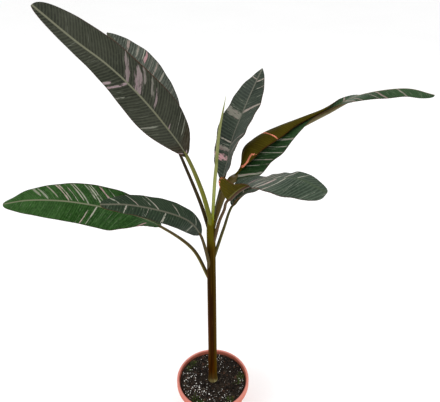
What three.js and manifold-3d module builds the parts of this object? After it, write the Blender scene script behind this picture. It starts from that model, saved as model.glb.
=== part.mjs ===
// A young variegated banana plant in a round nursery pot.
// Millimetres, +Z up. The origin is the centre of the pot's flat base.
import * as THREE from 'three'
import { mergeVertices } from 'three/addons/utils/BufferGeometryUtils.js'
import Module from 'manifold-3d'

const wasm = await Module()
wasm.setup()

// ---- driving dimensions -------------------------------------------------------------------
const GAP = 0.3               // clearance between touching pieces
const ROUND_STEPS = 40        // sides of the pot and the soil

const POT = {
  rimRadius: 70,
  height: 125,
  wall: 1.8,
  rimBand: 12,                // height of the thick band under the lip
  rimStep: 3,                 // how far the band stands out from the wall
  baseRadius: 49,
  baseThickness: 2.4,
  drainRadius: 4,
  drainCircle: 32,
  drainCount: 6,
}
const SOIL_DEPTH_BELOW_LIP = 4
const SOIL_TOP = POT.height - SOIL_DEPTH_BELOW_LIP
const SOIL_MOUND = 3          // how much the soil rises towards the stem

const STEM = {
  sides: 16,
  cormRadius: 13,
  cormDepth: 26,              // from the soil's surface to the underside of the corm
  footRadius: 8.3,            // at the soil
  crownRadius: 6.8,
  crownHeight: 506,
}

const BLADE_THICKNESS = 0.9
const BLADE_ROWS = 22         // steps along a blade
const TIP_WIDTH = 1.2         // narrowest half-width, so the ends close as small faces
const STALK_SIDES = 8
const STALK_STEPS = 26

// ---- materials ----------------------------------------------------------------------------
const surface = (color, roughness) =>
  new THREE.MeshStandardMaterial({ color, roughness, metalness: 0, side: THREE.DoubleSide })
const MATERIALS = {
  pot: () => surface(0xc9664e, 0.55),
  soil: () => surface(0x2b2622, 0.95),
  stem: () => surface(0x4c3418, 0.5),
  leaf: () => surface(0x2c4034, 0.45),
  rolledLeaf: () => surface(0x5d6b24, 0.5),
}

// ---- leaves -------------------------------------------------------------------------------
// route: points that the stalk and then the midrib run through, evenly stepped.
// bladeFrom: the index of the route point where the blade starts.
// faces: the way the upper side looks, in even steps from the blade's base to its tip.
// left, right: each half seen from above with the tip ahead, in even steps like faces. width is
// its half-width, lift the angle at which it leaves the midrib, curl how far its margin has turned.
// outline: where along the blade it is widest, and how blunt its base and its tip are.
const LEAVES = {
  leaf_1_low_left: {
    route: [[-4, 3, 380], [-32, 20, 429], [-86, 50, 452], [-137, 65, 467], [-195, 80, 473],
      [-259, 95, 474], [-320, 100, 472], [-367, 100, 464]],
    bladeFrom: 2,
    faces: [[0.4, 0.3, 0.8], [-0.05, -0.7, 0.7], [-0.1, -0.2, 1]],
    left: { width: [36, 38, 41], lift: [5, -10, -5], curl: [-10, -15, 0] },
    right: { width: [33, 36, 31], lift: [14, 10, 6], curl: [-6, -6, 0] },
    outline: { peak: 0.3, base: 0.5, tip: 0.5 },
    stalk: [3.7, 2.5, 1],
  },
  leaf_2_left: {
    route: [[-3, -4, 412], [-8, -10, 446], [-16, -17, 484], [-29, -28, 514], [-47, -38, 533],
      [-76, -49, 551], [-112, -60, 566], [-146, -70, 573]],
    bladeFrom: 2,
    faces: [[0, -0.85, 0.5], [0.15, -0.65, 0.75], [0.1, -0.45, 0.9]],
    left: { width: [18, 18, 18], lift: [12, 8, 4], curl: [-10, -10, 0] },
    right: { width: [11, 18, 19], lift: [14, 8, 4], curl: [-6, -6, 0] },
    outline: { peak: 0.34, base: 0.5, tip: 0.42 },
    stalk: [3.2, 2.2, 0.9],
  },
  leaf_3_small_right: {
    route: [[6, 0, 434], [20, 9, 478], [33, 22, 511], [58, 36, 531], [104, 60, 530], [146, 75, 516]],
    bladeFrom: 2,
    faces: [[-0.5, 0, 0.8], [0, 0, 1], [0.2, 0, 1]],
    left: { width: [19, 19], lift: [30, 10, 0], curl: [0, 0, 0] },
    right: { width: [19, 19], lift: [30, 10, 0], curl: [0, 0, 0] },
    outline: { peak: 0.4, base: 0.5, tip: 0.6 },
    stalk: [3.1, 2.1, 0.9],
  },
  leaf_4_back_left: {
    route: [[-3, 5, 478], [-17, 20, 520], [-41, 45, 573], [-54, 56, 602], [-82, 80, 663],
      [-111, 100, 709], [-151, 115, 752]],
    bladeFrom: 3,
    faces: [[0.5, -0.75, 0.4], [0.4, -0.75, 0.5], [0.3, -0.7, 0.6]],
    left: { width: [30, 30, 30], lift: [12, 10, 8], curl: [0, 0, 0] },
    right: { width: [31, 33, 34], lift: [12, 10, 8], curl: [0, 0, 0] },
    outline: { peak: 0.42, base: 0.5, tip: 0.8 },
    stalk: [3.3, 2.1, 0.9],
  },
  leaf_5_cupped_right: {
    route: [[7, -4, 474], [13, -9, 504], [20, -17, 529], [25, -25, 551], [47, -47, 587],
      [79, -78, 616], [109, -107, 633], [139, -130, 628]],
    bladeFrom: 3,
    faces: [[-0.5, 0.35, 0.75], [-0.15, 0.15, 1], [0, 0.1, 1], [-0.1, -0.3, 0.9], [-0.25, -0.7, 0.7]],
    left: {
      width: [14, 20, 18, 14, 13],
      lift: [70, 50, 20, 8, 5, 0, 0, 0, 0],
      curl: [20, 10, 0, 0, 0],
    },
    right: {
      width: [66, 54, 34, 16, 9, 9, 13, 19, 25, 29, 32, 33, 33, 33, 33, 33, 33],
      lift: [85, 88, 50, 8, 0, 0, 0, 0, 0],
      curl: [30, 0, -10, -10, -10],
    },
    outline: { peak: 0.5, base: 0.35, tip: 0.4 },
    stalk: [3, 2.2, 0.9],
  },
  leaf_6_upright: {
    route: [[5, 8, 500], [11, 16, 527], [18, 30, 553], [26, 45, 582], [34, 63, 610], [48, 80, 641],
      [62, 95, 670], [78, 110, 701]],
    bladeFrom: 2,
    faces: [[-0.9, -0.4, 0], [-0.75, -0.5, 0.4], [-0.4, -0.75, 0.55]],
    left: { width: [34, 33, 29], lift: [20, 15, 10], curl: [0, 0, 0] },
    right: { width: [36, 37, 43], lift: [20, 15, 10], curl: [0, 0, 0] },
    outline: { peak: 0.41, base: 0.5, tip: 0.86 },
    stalk: [3, 2, 0.9],
  },
  leaf_7_long_right: {
    route: [[7, 3, 500], [19, 13, 538], [32, 24, 557], [60, 60, 569], [84, 79, 583], [133, 105, 607],
      [188, 125, 628], [242, 140, 649], [315, 150, 656], [366, 150, 645]],
    bladeFrom: 2,
    faces: [[-0.3, -0.5, 0.8], [-0.27, -0.34, 0.9], [-0.1, -0.1, 1], [-0.1, -0.2, 0.95], [0.1, -0.3, 0.9]],
    left: {
      width: [16, 20, 71, 65, 56, 42, 28, 20, 14, 12, 12, 16, 20, 26, 30, 30, 30],
      lift: [10, -10, -5, 0, 0, -30, -60, -45, -25],
      curl: [200, 285, 285, 280, 280, 275, 270, 262, 250, 160, 60, 20, -20, -20, -20, -20, -20],
    },
    right: {
      width: [60, 52, 39, 31, 29, 23, 17, 13, 12, 13, 15, 19, 22, 25, 27, 27, 26],
      lift: [0, 0, 0, 15, 35, 15, -5, -8, -5],
      curl: [0, 0, -10, 0, 0, -10, -25, -30, -40],
    },
    outline: { peak: 0.25, base: 0.7, tip: 0.42 },
    stalk: [3.6, 3.2, 1],
    columns: 7,
  },
  leaf_8_top_left: {
    route: [[-2, -3, 508], [-13, -5, 556], [-33, -8, 614], [-61, -8, 661], [-95, -4, 705],
      [-130, 0, 740], [-168, 3, 770], [-213, 6, 810]],
    bladeFrom: 2,
    faces: [[0.75, -0.5, 0.4], [0, -1, 0.1], [0.35, -0.75, 0.55]],
    left: { width: [24, 30, 26, 18, 17], lift: [15, 12, 8], curl: [0, 0, 0] },
    right: { width: [31, 33, 34, 36, 38], lift: [15, 12, 8], curl: [0, 0, 0] },
    outline: { peak: 0.31, base: 0.5, tip: 0.48 },
    stalk: [3.9, 2.7, 1.1],
  },
}
const ROLLED_LEAF = {
  route: [[3, 0, 511], [5, 2, 546], [7, 4, 575], [11, 7, 624], [14, 9, 650], [19, 11, 677], [22, 12, 694]],
  radii: [2.6, 2.6, 2.2, 0.7],
}

// ---- curves -------------------------------------------------------------------------------
/** The value at share u of evenly stepped keys, which are numbers or vectors: a smooth curve. */
function along(keys, u) {
  const vectors = Array.isArray(keys[0])
  const points = keys.map((key) => (vectors ? new THREE.Vector3(...key) : new THREE.Vector3(key, 0, 0)))
  const value = new THREE.CatmullRomCurve3(points, false, 'catmullrom', 0.5)
    .getPoint(THREE.MathUtils.clamp(u, 0, 1))
  return vectors ? value : value.x
}

/** A route measured by its real length: point(distance), direction(distance) and length. */
function measured(route) {
  const curve = new THREE.CatmullRomCurve3(
    route.map((p) => new THREE.Vector3(...p)), false, 'catmullrom', 0.5)
  const pieces = 400
  curve.arcLengthDivisions = pieces
  const lengths = curve.getLengths(pieces)
  const length = lengths[pieces]
  const point = (distance) => curve.getPointAt(THREE.MathUtils.clamp(distance / length, 0, 1))
  const reach = 1
  const direction = (distance) =>
    point(Math.min(distance + reach, length)).sub(point(Math.max(distance - reach, 0))).normalize()
  const lengthTo = (index) => lengths[Math.round((index / (route.length - 1)) * pieces)]
  return { point, direction, length, lengthTo }
}

// ---- closed meshes ------------------------------------------------------------------------
/** A closed geometry from rings of points that all have the same count, capped at both ends. */
function closedFromRings(rings) {
  const count = rings[0].length
  const positions = rings.flat().flatMap((p) => [p.x, p.y, p.z])
  const faces = []
  for (let row = 0; row + 1 < rings.length; row++) {
    for (let k = 0; k < count; k++) {
      const a = row * count + k
      const b = row * count + ((k + 1) % count)
      faces.push(a, b, b + count, a, b + count, a + count)
    }
  }
  const last = (rings.length - 1) * count
  for (let k = 1; k + 1 < count; k++) {
    faces.push(0, k + 1, k)
    faces.push(last, last + k, last + k + 1)
  }
  const geometry = new THREE.BufferGeometry()
  geometry.setAttribute('position', new THREE.Float32BufferAttribute(positions, 3))
  geometry.setIndex(faces)
  return geometry
}

/** A manifold solid from a closed geometry. */
function solidOf(geometry) {
  const bare = geometry.clone()
  bare.deleteAttribute('normal')
  bare.deleteAttribute('uv')
  const merged = mergeVertices(bare, 1e-4)
  return new wasm.Manifold(new wasm.Mesh({
    numProp: 3,
    vertProperties: new Float32Array(merged.attributes.position.array),
    triVerts: new Uint32Array(merged.index.array),
  }))
}

/** A geometry from a manifold solid, keeping its largest body where a cut left crumbs. */
function geometryOf(solid) {
  const bodies = solid.decompose()
  const largest = bodies.reduce((a, b) => (a.volume() > b.volume() ? a : b))
  const mesh = largest.getMesh()
  const geometry = new THREE.BufferGeometry()
  geometry.setAttribute('position', new THREE.Float32BufferAttribute(mesh.vertProperties, 3))
  geometry.setIndex(Array.from(mesh.triVerts))
  geometry.computeVertexNormals()
  return geometry
}

/** A solid turned round the Z axis. profile is [radius, height] pairs that start and end on it. */
function turned(profile, sides = ROUND_STEPS) {
  const points = profile.map(([r, z]) => new THREE.Vector2(r, z))
  const geometry = new THREE.LatheGeometry(points, sides)
  geometry.rotateX(Math.PI / 2)
  return solidOf(geometry)
}

// ---- pot, soil and stem -------------------------------------------------------------------
/** The wall's outer radius at a height, below the rim band. */
function potRadius(z) {
  const top = POT.rimRadius - POT.rimStep
  return THREE.MathUtils.lerp(POT.baseRadius, top, z / POT.height)
}

function nurseryPot() {
  const bandFrom = POT.height - POT.rimBand
  const edge = 1
  let pot = turned([
    [0, 0],
    [POT.baseRadius - edge, 0],
    [potRadius(edge), edge],
    [potRadius(bandFrom - POT.rimStep), bandFrom - POT.rimStep],
    [POT.rimRadius - edge, bandFrom],
    [POT.rimRadius, bandFrom + edge],
    [POT.rimRadius, POT.height - edge],
    [POT.rimRadius - edge, POT.height],
    [potRadius(POT.height) - POT.wall + edge, POT.height],
    [potRadius(POT.height) - POT.wall, POT.height - edge],
    [potRadius(POT.baseThickness) - POT.wall, POT.baseThickness],
    [0, POT.baseThickness],
  ])
  const drillLength = POT.baseThickness * 3
  for (let k = 0; k < POT.drainCount; k++) {
    const angle = (2 * Math.PI * (k + 0.5)) / POT.drainCount
    const drill = new THREE.CylinderGeometry(POT.drainRadius, POT.drainRadius, drillLength, 12)
    drill.rotateX(Math.PI / 2)
    const holeX = POT.drainCircle * Math.cos(angle)
    const holeY = POT.drainCircle * Math.sin(angle)
    drill.translate(holeX, holeY, POT.baseThickness / 2)
    pot = pot.subtract(solidOf(drill))
  }
  return pot
}

/** The banana's false stem of wrapped sheaths, with the corm it grows from under the soil. */
function pseudostem(grow = 0) {
  const soilLevel = SOIL_TOP + SOIL_MOUND
  const bottom = soilLevel - STEM.cormDepth
  const profile = [
    [0, bottom - grow],
    [STEM.cormRadius * 0.6 + grow, bottom - grow],
    [STEM.cormRadius + grow, bottom + 7],
    [STEM.cormRadius + grow, bottom + 12],
    [STEM.footRadius + 1 + grow, soilLevel - 4],
    [STEM.footRadius + grow, soilLevel + 8],
    [THREE.MathUtils.lerp(STEM.footRadius, STEM.crownRadius, 0.5) + grow, 320],
    [STEM.crownRadius + 0.4 + grow, 450],
    [STEM.crownRadius + grow, STEM.crownHeight - 16],
    [STEM.crownRadius - 2.4 + grow, STEM.crownHeight + grow],
    [0, STEM.crownHeight + grow],
  ]
  return turned(profile, STEM.sides)
}

function pottingSoil() {
  const inside = (z) => potRadius(z) - POT.wall - GAP
  const bottom = POT.baseThickness + GAP
  const shoulder = 30           // radius within which the soil rises to the stem
  const soil = turned([
    [0, bottom],
    [inside(bottom), bottom],
    [inside(SOIL_TOP - 1), SOIL_TOP - 1],
    [inside(SOIL_TOP) - 6, SOIL_TOP],
    [shoulder, SOIL_TOP + SOIL_MOUND * 0.4],
    [0, SOIL_TOP + SOIL_MOUND],
  ])
  return soil.subtract(pseudostem(GAP))
}

// ---- leaves -------------------------------------------------------------------------------
/** Half-width of a blade at share u of its length, as a share of the greatest. */
function bladeOutline({ peak, base, tip }, u) {
  if (u < peak) return Math.pow(1 - (1 - u / peak) ** 2, base)
  return Math.pow(Math.max(0, 1 - ((u - peak) / (1 - peak)) ** 2), tip)
}

/** Where the midrib is at share u of the blade, with its length, up and side directions. */
function bladeFrame(leaf, path, u) {
  const start = path.lengthTo(leaf.bladeFrom)
  const distance = start + (path.length - start) * u
  const tangent = path.direction(distance)
  const up = along(leaf.faces, u)
  up.addScaledVector(tangent, -up.dot(tangent)).normalize()
  return { at: path.point(distance), tangent, up, side: new THREE.Vector3().crossVectors(tangent, up) }
}

/** A point of one half of the blade, v from midrib to margin, and the surface's own normal. */
function halfPoint(leaf, half, sign, frame, u, v) {
  const lift = THREE.MathUtils.degToRad(along(half.lift, u))
  const curl = THREE.MathUtils.degToRad(along(half.curl, u))
  const width = Math.max(along(half.width, u) * bladeOutline(leaf.outline, u), TIP_WIDTH)
  const flat = Math.abs(curl) < 1e-4
  const out = flat ? v * Math.cos(lift) : (Math.sin(lift + curl * v) - Math.sin(lift)) / curl
  const rise = flat ? v * Math.sin(lift) : (Math.cos(lift) - Math.cos(lift + curl * v)) / curl
  const angle = lift + curl * v
  const point = frame.at.clone()
    .addScaledVector(frame.side, sign * width * out)
    .addScaledVector(frame.up, width * rise)
  const normal = frame.up.clone().multiplyScalar(Math.cos(angle))
    .addScaledVector(frame.side, -sign * Math.sin(angle))
  return { point, normal }
}

/** The blade as one closed sheet. */
function bladeSolid(leaf, path, grow) {
  const columns = leaf.columns ?? 3
  const offset = BLADE_THICKNESS / 2 + grow
  const rings = []
  for (let row = 0; row <= BLADE_ROWS; row++) {
    const u = row / BLADE_ROWS
    const frame = bladeFrame(leaf, path, u)
    const section = []
    for (let k = -columns; k <= columns; k++) {
      const sign = k < 0 ? -1 : 1
      const half = k < 0 ? leaf.left : leaf.right
      const { point, normal } = halfPoint(leaf, half, sign, frame, u, Math.abs(k) / columns)
      if (k === 0) normal.copy(frame.up)
      section.push({ point, normal })
    }
    const upper = section.map((s) => s.point.clone().addScaledVector(s.normal, offset))
    const under = section.map((s) => s.point.clone().addScaledVector(s.normal, -offset)).reverse()
    rings.push([...upper, ...under])
  }
  return solidOf(closedFromRings(rings))
}

/** A round rod along a path; radiusAt and shiftAt take the distance along it. */
function rodSolid(path, steps, radiusAt, shiftAt) {
  const rings = []
  let across = new THREE.Vector3(0, 1, 0)
  for (let row = 0; row <= steps; row++) {
    const distance = (path.length * row) / steps
    const tangent = path.direction(distance)
    across.addScaledVector(tangent, -across.dot(tangent)).normalize()
    const other = new THREE.Vector3().crossVectors(tangent, across)
    const centre = path.point(distance).add(shiftAt(distance))
    const ring = []
    for (let k = 0; k < STALK_SIDES; k++) {
      const angle = (2 * Math.PI * k) / STALK_SIDES
      ring.push(centre.clone()
        .addScaledVector(across, radiusAt(distance) * Math.cos(angle))
        .addScaledVector(other, radiusAt(distance) * Math.sin(angle)))
    }
    rings.push(ring)
  }
  return solidOf(closedFromRings(rings))
}

/** A whole leaf: its stalk, which runs on under the blade as the midrib, joined to its blade. */
function leafSolid(leaf, grow = 0) {
  const path = measured(leaf.route)
  const bladeStart = path.lengthTo(leaf.bladeFrom)
  const [atStem, atBlade, atTip] = leaf.stalk
  const shareOfBlade = (distance) => (distance - bladeStart) / (path.length - bladeStart)
  const radiusAt = (distance) => grow + (distance < bladeStart
    ? THREE.MathUtils.lerp(atStem, atBlade, distance / bladeStart)
    : THREE.MathUtils.lerp(atBlade, atTip, shareOfBlade(distance)))
  const shiftAt = (distance) => {
    const share = THREE.MathUtils.clamp(shareOfBlade(distance), 0, 1)
    const sunk = Math.min(1, share / 0.04) * (radiusAt(distance) - grow) * 0.8
    return bladeFrame(leaf, path, share).up.multiplyScalar(-sunk)
  }
  const rod = rodSolid(path, STALK_STEPS, radiusAt, shiftAt)
  return rod.add(bladeSolid(leaf, path, grow))
}

/** The newest leaf, still rolled up into a spear. */
function rolledLeaf() {
  const path = measured(ROLLED_LEAF.route)
  const radiusAt = (distance) => along(ROLLED_LEAF.radii, distance / path.length)
  return rodSolid(path, STALK_STEPS, radiusAt, () => new THREE.Vector3())
}

// ---- the plant ----------------------------------------------------------------------------
const group = new THREE.Group()

function addPiece(name, solid, material) {
  const mesh = new THREE.Mesh(geometryOf(solid), material)
  mesh.name = name
  group.add(mesh)
}

addPiece('nursery_pot', nurseryPot(), MATERIALS.pot())
addPiece('potting_soil', pottingSoil(), MATERIALS.soil())
addPiece('pseudostem', pseudostem(), MATERIALS.stem())

// Each leaf is trimmed where it clasps the stem and where it passes a leaf made before it.
let taken = pseudostem(GAP)
for (const [name, leaf] of Object.entries(LEAVES)) {
  addPiece(name, leafSolid(leaf).subtract(taken), MATERIALS.leaf())
  taken = taken.add(leafSolid(leaf, GAP))
}
addPiece('leaf_9_rolled', rolledLeaf().subtract(taken), MATERIALS.rolledLeaf())

export default group
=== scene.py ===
import math
import random

import bpy
import numpy as np
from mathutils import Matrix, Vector, noise


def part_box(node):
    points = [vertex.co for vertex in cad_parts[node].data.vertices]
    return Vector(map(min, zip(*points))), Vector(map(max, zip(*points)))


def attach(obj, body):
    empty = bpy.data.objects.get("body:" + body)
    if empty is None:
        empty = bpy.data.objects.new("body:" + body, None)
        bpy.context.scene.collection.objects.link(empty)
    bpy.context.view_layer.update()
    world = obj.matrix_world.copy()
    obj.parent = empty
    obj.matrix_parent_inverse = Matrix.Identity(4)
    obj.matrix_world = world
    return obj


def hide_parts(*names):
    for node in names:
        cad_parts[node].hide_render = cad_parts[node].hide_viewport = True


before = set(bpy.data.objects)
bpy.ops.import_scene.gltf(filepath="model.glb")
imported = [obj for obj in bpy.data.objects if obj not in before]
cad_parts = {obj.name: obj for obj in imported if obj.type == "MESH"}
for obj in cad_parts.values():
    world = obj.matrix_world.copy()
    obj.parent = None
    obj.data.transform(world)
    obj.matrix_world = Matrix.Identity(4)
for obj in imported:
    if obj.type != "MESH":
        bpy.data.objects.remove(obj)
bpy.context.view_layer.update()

# A young pink-variegated banana plant in a terracotta-coloured nursery pot.
# +Z up, the origin at the centre of the pot's flat base. Materials work in metres. Shapes are
# written in millimetres, as in the CAD source, and scaled by MM when a mesh is made.
MM = 0.001

pot_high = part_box("nursery_pot")[1]
soil_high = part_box("potting_soil")[1]
stem_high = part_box("pseudostem")[1]

POT_HEIGHT = pot_high[2]
RIM_RADIUS = pot_high[0]
SOIL_RADIUS = soil_high[0] / MM        # mm, and so are the three below
SOIL_MOUND = 3                         # how far the soil rises towards the stem
SOIL_TOP = soil_high[2] / MM - SOIL_MOUND
STEM_TOP = stem_high[2] / MM


# ---- meshes -------------------------------------------------------------------------------
def add_object(name, data):
    made = bpy.data.objects.new(name, data)
    bpy.context.scene.collection.objects.link(made)
    return made


def add_mesh(name, points, faces, materials, node, face_materials=None, smooth=True):
    """A mesh piece that rides on the root and stands for a CAD node."""
    mesh = bpy.data.meshes.new(name)
    mesh.from_pydata([tuple(p) for p in points], [], [tuple(f) for f in faces])
    for material in materials:
        mesh.materials.append(material)
    if face_materials is not None:
        mesh.polygons.foreach_set("material_index", np.asarray(face_materials, dtype=np.int32))
    mesh.polygons.foreach_set("use_smooth", np.full(len(mesh.polygons), smooth))
    mesh.update()
    piece = add_object(name, mesh)
    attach(piece, "root")
    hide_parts(node)
    return piece


def add_place(piece, name, values):
    """Stores a vector for each point, which the materials read by name."""
    attribute = piece.data.attributes.new(name, "FLOAT_VECTOR", "POINT")
    attribute.data.foreach_set("vector", np.asarray(values, dtype=np.float32).ravel())


def ring_faces(rows, count, first=0, caps=True):
    """Faces of a tube of rings with count points each, numbered from first."""
    faces = []
    for row in range(rows - 1):
        for k in range(count):
            a = first + row * count + k
            b = first + row * count + (k + 1) % count
            faces.append((a, b, b + count, a + count))
    if caps:
        last = first + (rows - 1) * count
        faces.append(tuple(first + k for k in reversed(range(count))))
        faces.append(tuple(last + k for k in range(count)))
    return faces


def turned_points(profile, sides):
    """Rings of points round Z for a profile of (radius, height) pairs."""
    angles = np.linspace(0, 2 * np.pi, sides, endpoint=False)
    return np.array([
        (radius * np.cos(a), radius * np.sin(a), height)
        for radius, height in profile
        for a in angles
    ])


def rounded(corner, before, after, size, steps=5):
    """Points of a rounded corner of a profile."""
    corner, before, after = (np.array(p, dtype=float) for p in (corner, before, after))
    start = corner + (before - corner) / np.linalg.norm(before - corner) * size
    end = corner + (after - corner) / np.linalg.norm(after - corner) * size
    shares = np.linspace(0, 1, steps)
    return [tuple((1 - t) ** 2 * start + 2 * t * (1 - t) * corner + t * t * end) for t in shares]


# ---- material nodes -----------------------------------------------------------------------
class Shader:
    """A material with a Principled BSDF, and short calls that add and join its nodes."""

    def __init__(self, name, roughness=0.5, specular=0.5):
        self.material = bpy.data.materials.new(name)
        self.material.use_nodes = True
        self.tree = self.material.node_tree
        self.surface = self.tree.nodes["Principled BSDF"]
        self.surface.inputs["Roughness"].default_value = roughness
        self.surface.inputs["Specular IOR Level"].default_value = specular

    def node(self, kind, settings=None, **inputs):
        made = self.tree.nodes.new(kind)
        for key, value in (settings or {}).items():
            setattr(made, key, value)
        for key, value in inputs.items():
            self.put(made.inputs[key.replace("_", " ")], value)
        return made

    def put(self, socket, value):
        if isinstance(value, bpy.types.NodeSocket):
            self.tree.links.new(value, socket)
        else:
            socket.default_value = value

    def math(self, operation, a, b=0.0, c=0.0, clamp=False):
        made = self.tree.nodes.new("ShaderNodeMath")
        made.operation = operation
        made.use_clamp = clamp
        for socket, value in zip(made.inputs, (a, b, c)):
            self.put(socket, value)
        return made.outputs[0]

    def times(self, a, b):
        return self.math("MULTIPLY", a, b)

    def plus(self, a, b):
        return self.math("ADD", a, b)

    def about(self, value, centre, factor, added, clamp=False):
        """How far value is from centre, times factor, plus added."""
        return self.math("MULTIPLY_ADD", self.math("SUBTRACT", value, centre), factor, added, clamp)

    def mix(self, share, a, b):
        made = self.tree.nodes.new("ShaderNodeMix")
        made.data_type = "RGBA"
        made.clamp_factor = True
        for socket, value in ((made.inputs[0], share), (made.inputs[6], a), (made.inputs[7], b)):
            self.put(socket, colour(value) if isinstance(value, tuple) else value)
        return made.outputs[2]

    def between(self, value, low, high, to_low=0.0, to_high=1.0):
        """value mapped smoothly from low..high to to_low..to_high."""
        made = self.tree.nodes.new("ShaderNodeMapRange")
        made.interpolation_type = "SMOOTHSTEP"
        for socket, number in zip(made.inputs, (value, low, high, to_low, to_high)):
            self.put(socket, number)
        return made.outputs[0]

    def layer(self, base, over, value, low, high, at_low=0.0, at_high=1.0):
        """over laid on base, with a cover that goes from at_low to at_high as value does."""
        return self.mix(self.between(value, low, high, at_low, at_high), base, over)

    def object_place(self):
        return self.node("ShaderNodeTexCoord").outputs["Object"]

    def named_place(self, name):
        """The parts of a vector that add_place stored."""
        read = self.node("ShaderNodeAttribute", {"attribute_name": name})
        return self.parts(read.outputs["Vector"])

    def parts(self, vector):
        return self.node("ShaderNodeSeparateXYZ", Vector=vector).outputs[:3]

    def join(self, x, y, z):
        made = self.tree.nodes.new("ShaderNodeCombineXYZ")
        for socket, value in zip(made.inputs, (x, y, z)):
            self.put(socket, value)
        return made.outputs[0]

    def noise(self, place, scale, detail=3.0, roughness=0.55, stretch=None):
        if stretch:
            place = self.node("ShaderNodeMapping", Vector=place, Scale=stretch).outputs[0]
        return self.node("ShaderNodeTexNoise", Vector=place, Scale=scale, Detail=detail,
                         Roughness=roughness).outputs[0]

    def bump(self, height, strength, distance):
        made = self.node("ShaderNodeBump", Height=height, Strength=strength, Distance=distance)
        self.put(self.surface.inputs["Normal"], made.outputs[0])

    def finish(self, base, roughness=None):
        self.put(self.surface.inputs["Base Color"], base)
        if roughness is not None:
            self.put(self.surface.inputs["Roughness"], roughness)
        return self.material


def colour(rgb):
    return (*rgb, 1.0)


# ---- leaf materials -----------------------------------------------------------------------
# Each blade stores leaf_place: where the vein through a point starts along the midrib (in units
# of 10 mm), the share of the way from midrib to margin (negative on the left), and how near the
# midrib is. It also stores leaf_marks: a streak's strength, how pink it is and how well it covers.
VEIN_SPACING = 0.46           # of a main vein, in units of 10 mm
FINE_VEIN_SPACING = 0.13


def shade(rgb, factor):
    return tuple(c * factor for c in rgb)


def veins(shader, start):
    """Heights of the main and the fine cross veins."""
    wander = shader.times(shader.noise(shader.object_place(), 30, 2), 0.3)
    moved = shader.plus(start, wander)
    main = shader.math("SINE", shader.times(moved, 2 * math.pi / VEIN_SPACING))
    fine = shader.math("SINE", shader.times(start, 2 * math.pi / FINE_VEIN_SPACING))
    return main, fine


def along_veins(shader, start, side, across, lengthways, seed, detail=3):
    """Noise drawn out along the veins."""
    place = shader.join(shader.times(start, across), shader.times(side, lengthways), seed)
    return shader.noise(place, 1.0, detail, 0.62)


def streak_mask(shader, start, side, strength, seed):
    """Streaks with ragged edges, split into lines along the veins."""
    lines = along_veins(shader, start, side, 7.5, 2.0, seed + 2.0, 4)
    broad = along_veins(shader, start, side, 1.6, 3.5, seed + 5.0, 2)
    shaped = shader.about(lines, 0.56, 2.6, strength)
    shaped = shader.about(broad, 0.5, 1.2, shaped)
    present = shader.between(strength, 0.02, 0.2)
    return shader.times(shader.between(shaped, 0.40, 0.66), present)


def upper_material(name, seed, dark, light, rib, deep, deep_reach, pale, pink,
                   hairlines=0.4, shine=0.16, rib_highlight_and_shade=1.0):
    """The upper side of a blade. It is deep in colour from its base up to deep_reach (10 mm)."""
    shader = Shader(name, roughness=0.4, specular=shine)
    start, side, near_rib = shader.named_place("leaf_place")
    strength, rosy, cover = shader.named_place("leaf_marks")
    main, fine = veins(shader, start)
    place = shader.object_place()
    cloud = shader.noise(place, 14, 3)
    grain = shader.noise(place, 260, 2)
    stripes = along_veins(shader, start, side, 2.2, 0.8, seed)

    green = shader.mix(shader.between(cloud, 0.32, 0.68), dark, light)
    green = shader.layer(green, deep, start, 0.2 * deep_reach, deep_reach, 0.9, 0.0)
    green = shader.layer(green, light, stripes, 0.5, 0.7, 0.0, 0.6)
    green = shader.layer(green, shade(dark, 0.7), stripes, 0.28, 0.42, 0.6, 0.0)
    # Painted highlight along the crests of the main veins' ribs and painted shade in the troughs between
    # them; rib_highlight_and_shade sets how strong they are.
    green = shader.layer(green, shade(light, 2.0), main, 0.2, 1.0, 0.0, 0.36 * rib_highlight_and_shade)
    green = shader.layer(green, shade(dark, 0.45), main, -1.0, -0.4, 0.45 * rib_highlight_and_shade, 0.0)
    green = shader.layer(green, shade(dark, 0.5), fine, 0.0, 1.0, 0.0, 0.3)
    green = shader.layer(green, shade(light, 1.7), grain, 0.4, 0.75, 0.0, 0.25)
    thin = along_veins(shader, start, side, 8.0, 1.0, seed + 7.3, 2)
    green = shader.layer(green, pale, thin, 0.63, 0.72, 0.0, hairlines)

    mask = streak_mask(shader, start, side, strength, seed)
    tint = shader.about(stripes, 0.5, 1.6, rosy, clamp=True)
    mark = shader.mix(tint, pale, pink)
    mark = shader.layer(mark, shade(pink, 0.5), fine, 0.0, 1.0, 0.0, 0.4)
    base = shader.mix(shader.times(mask, cover), green, mark)

    margin = shader.between(shader.math("ABSOLUTE", side), 0.955, 0.99, 0.0, 0.8)
    base = shader.mix(margin, base, (0.035, 0.014, 0.008))
    base = shader.layer(base, rib, near_rib, 0.25, 0.8)

    height = shader.math("MULTIPLY_ADD", main, 0.5, shader.times(fine, 0.22))
    height = shader.plus(height, shader.times(grain, 0.3))
    shader.bump(height, 0.4, 0.0004)
    return shader.finish(base, shader.between(cloud, 0.3, 0.7, 0.34, 0.5))


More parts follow.
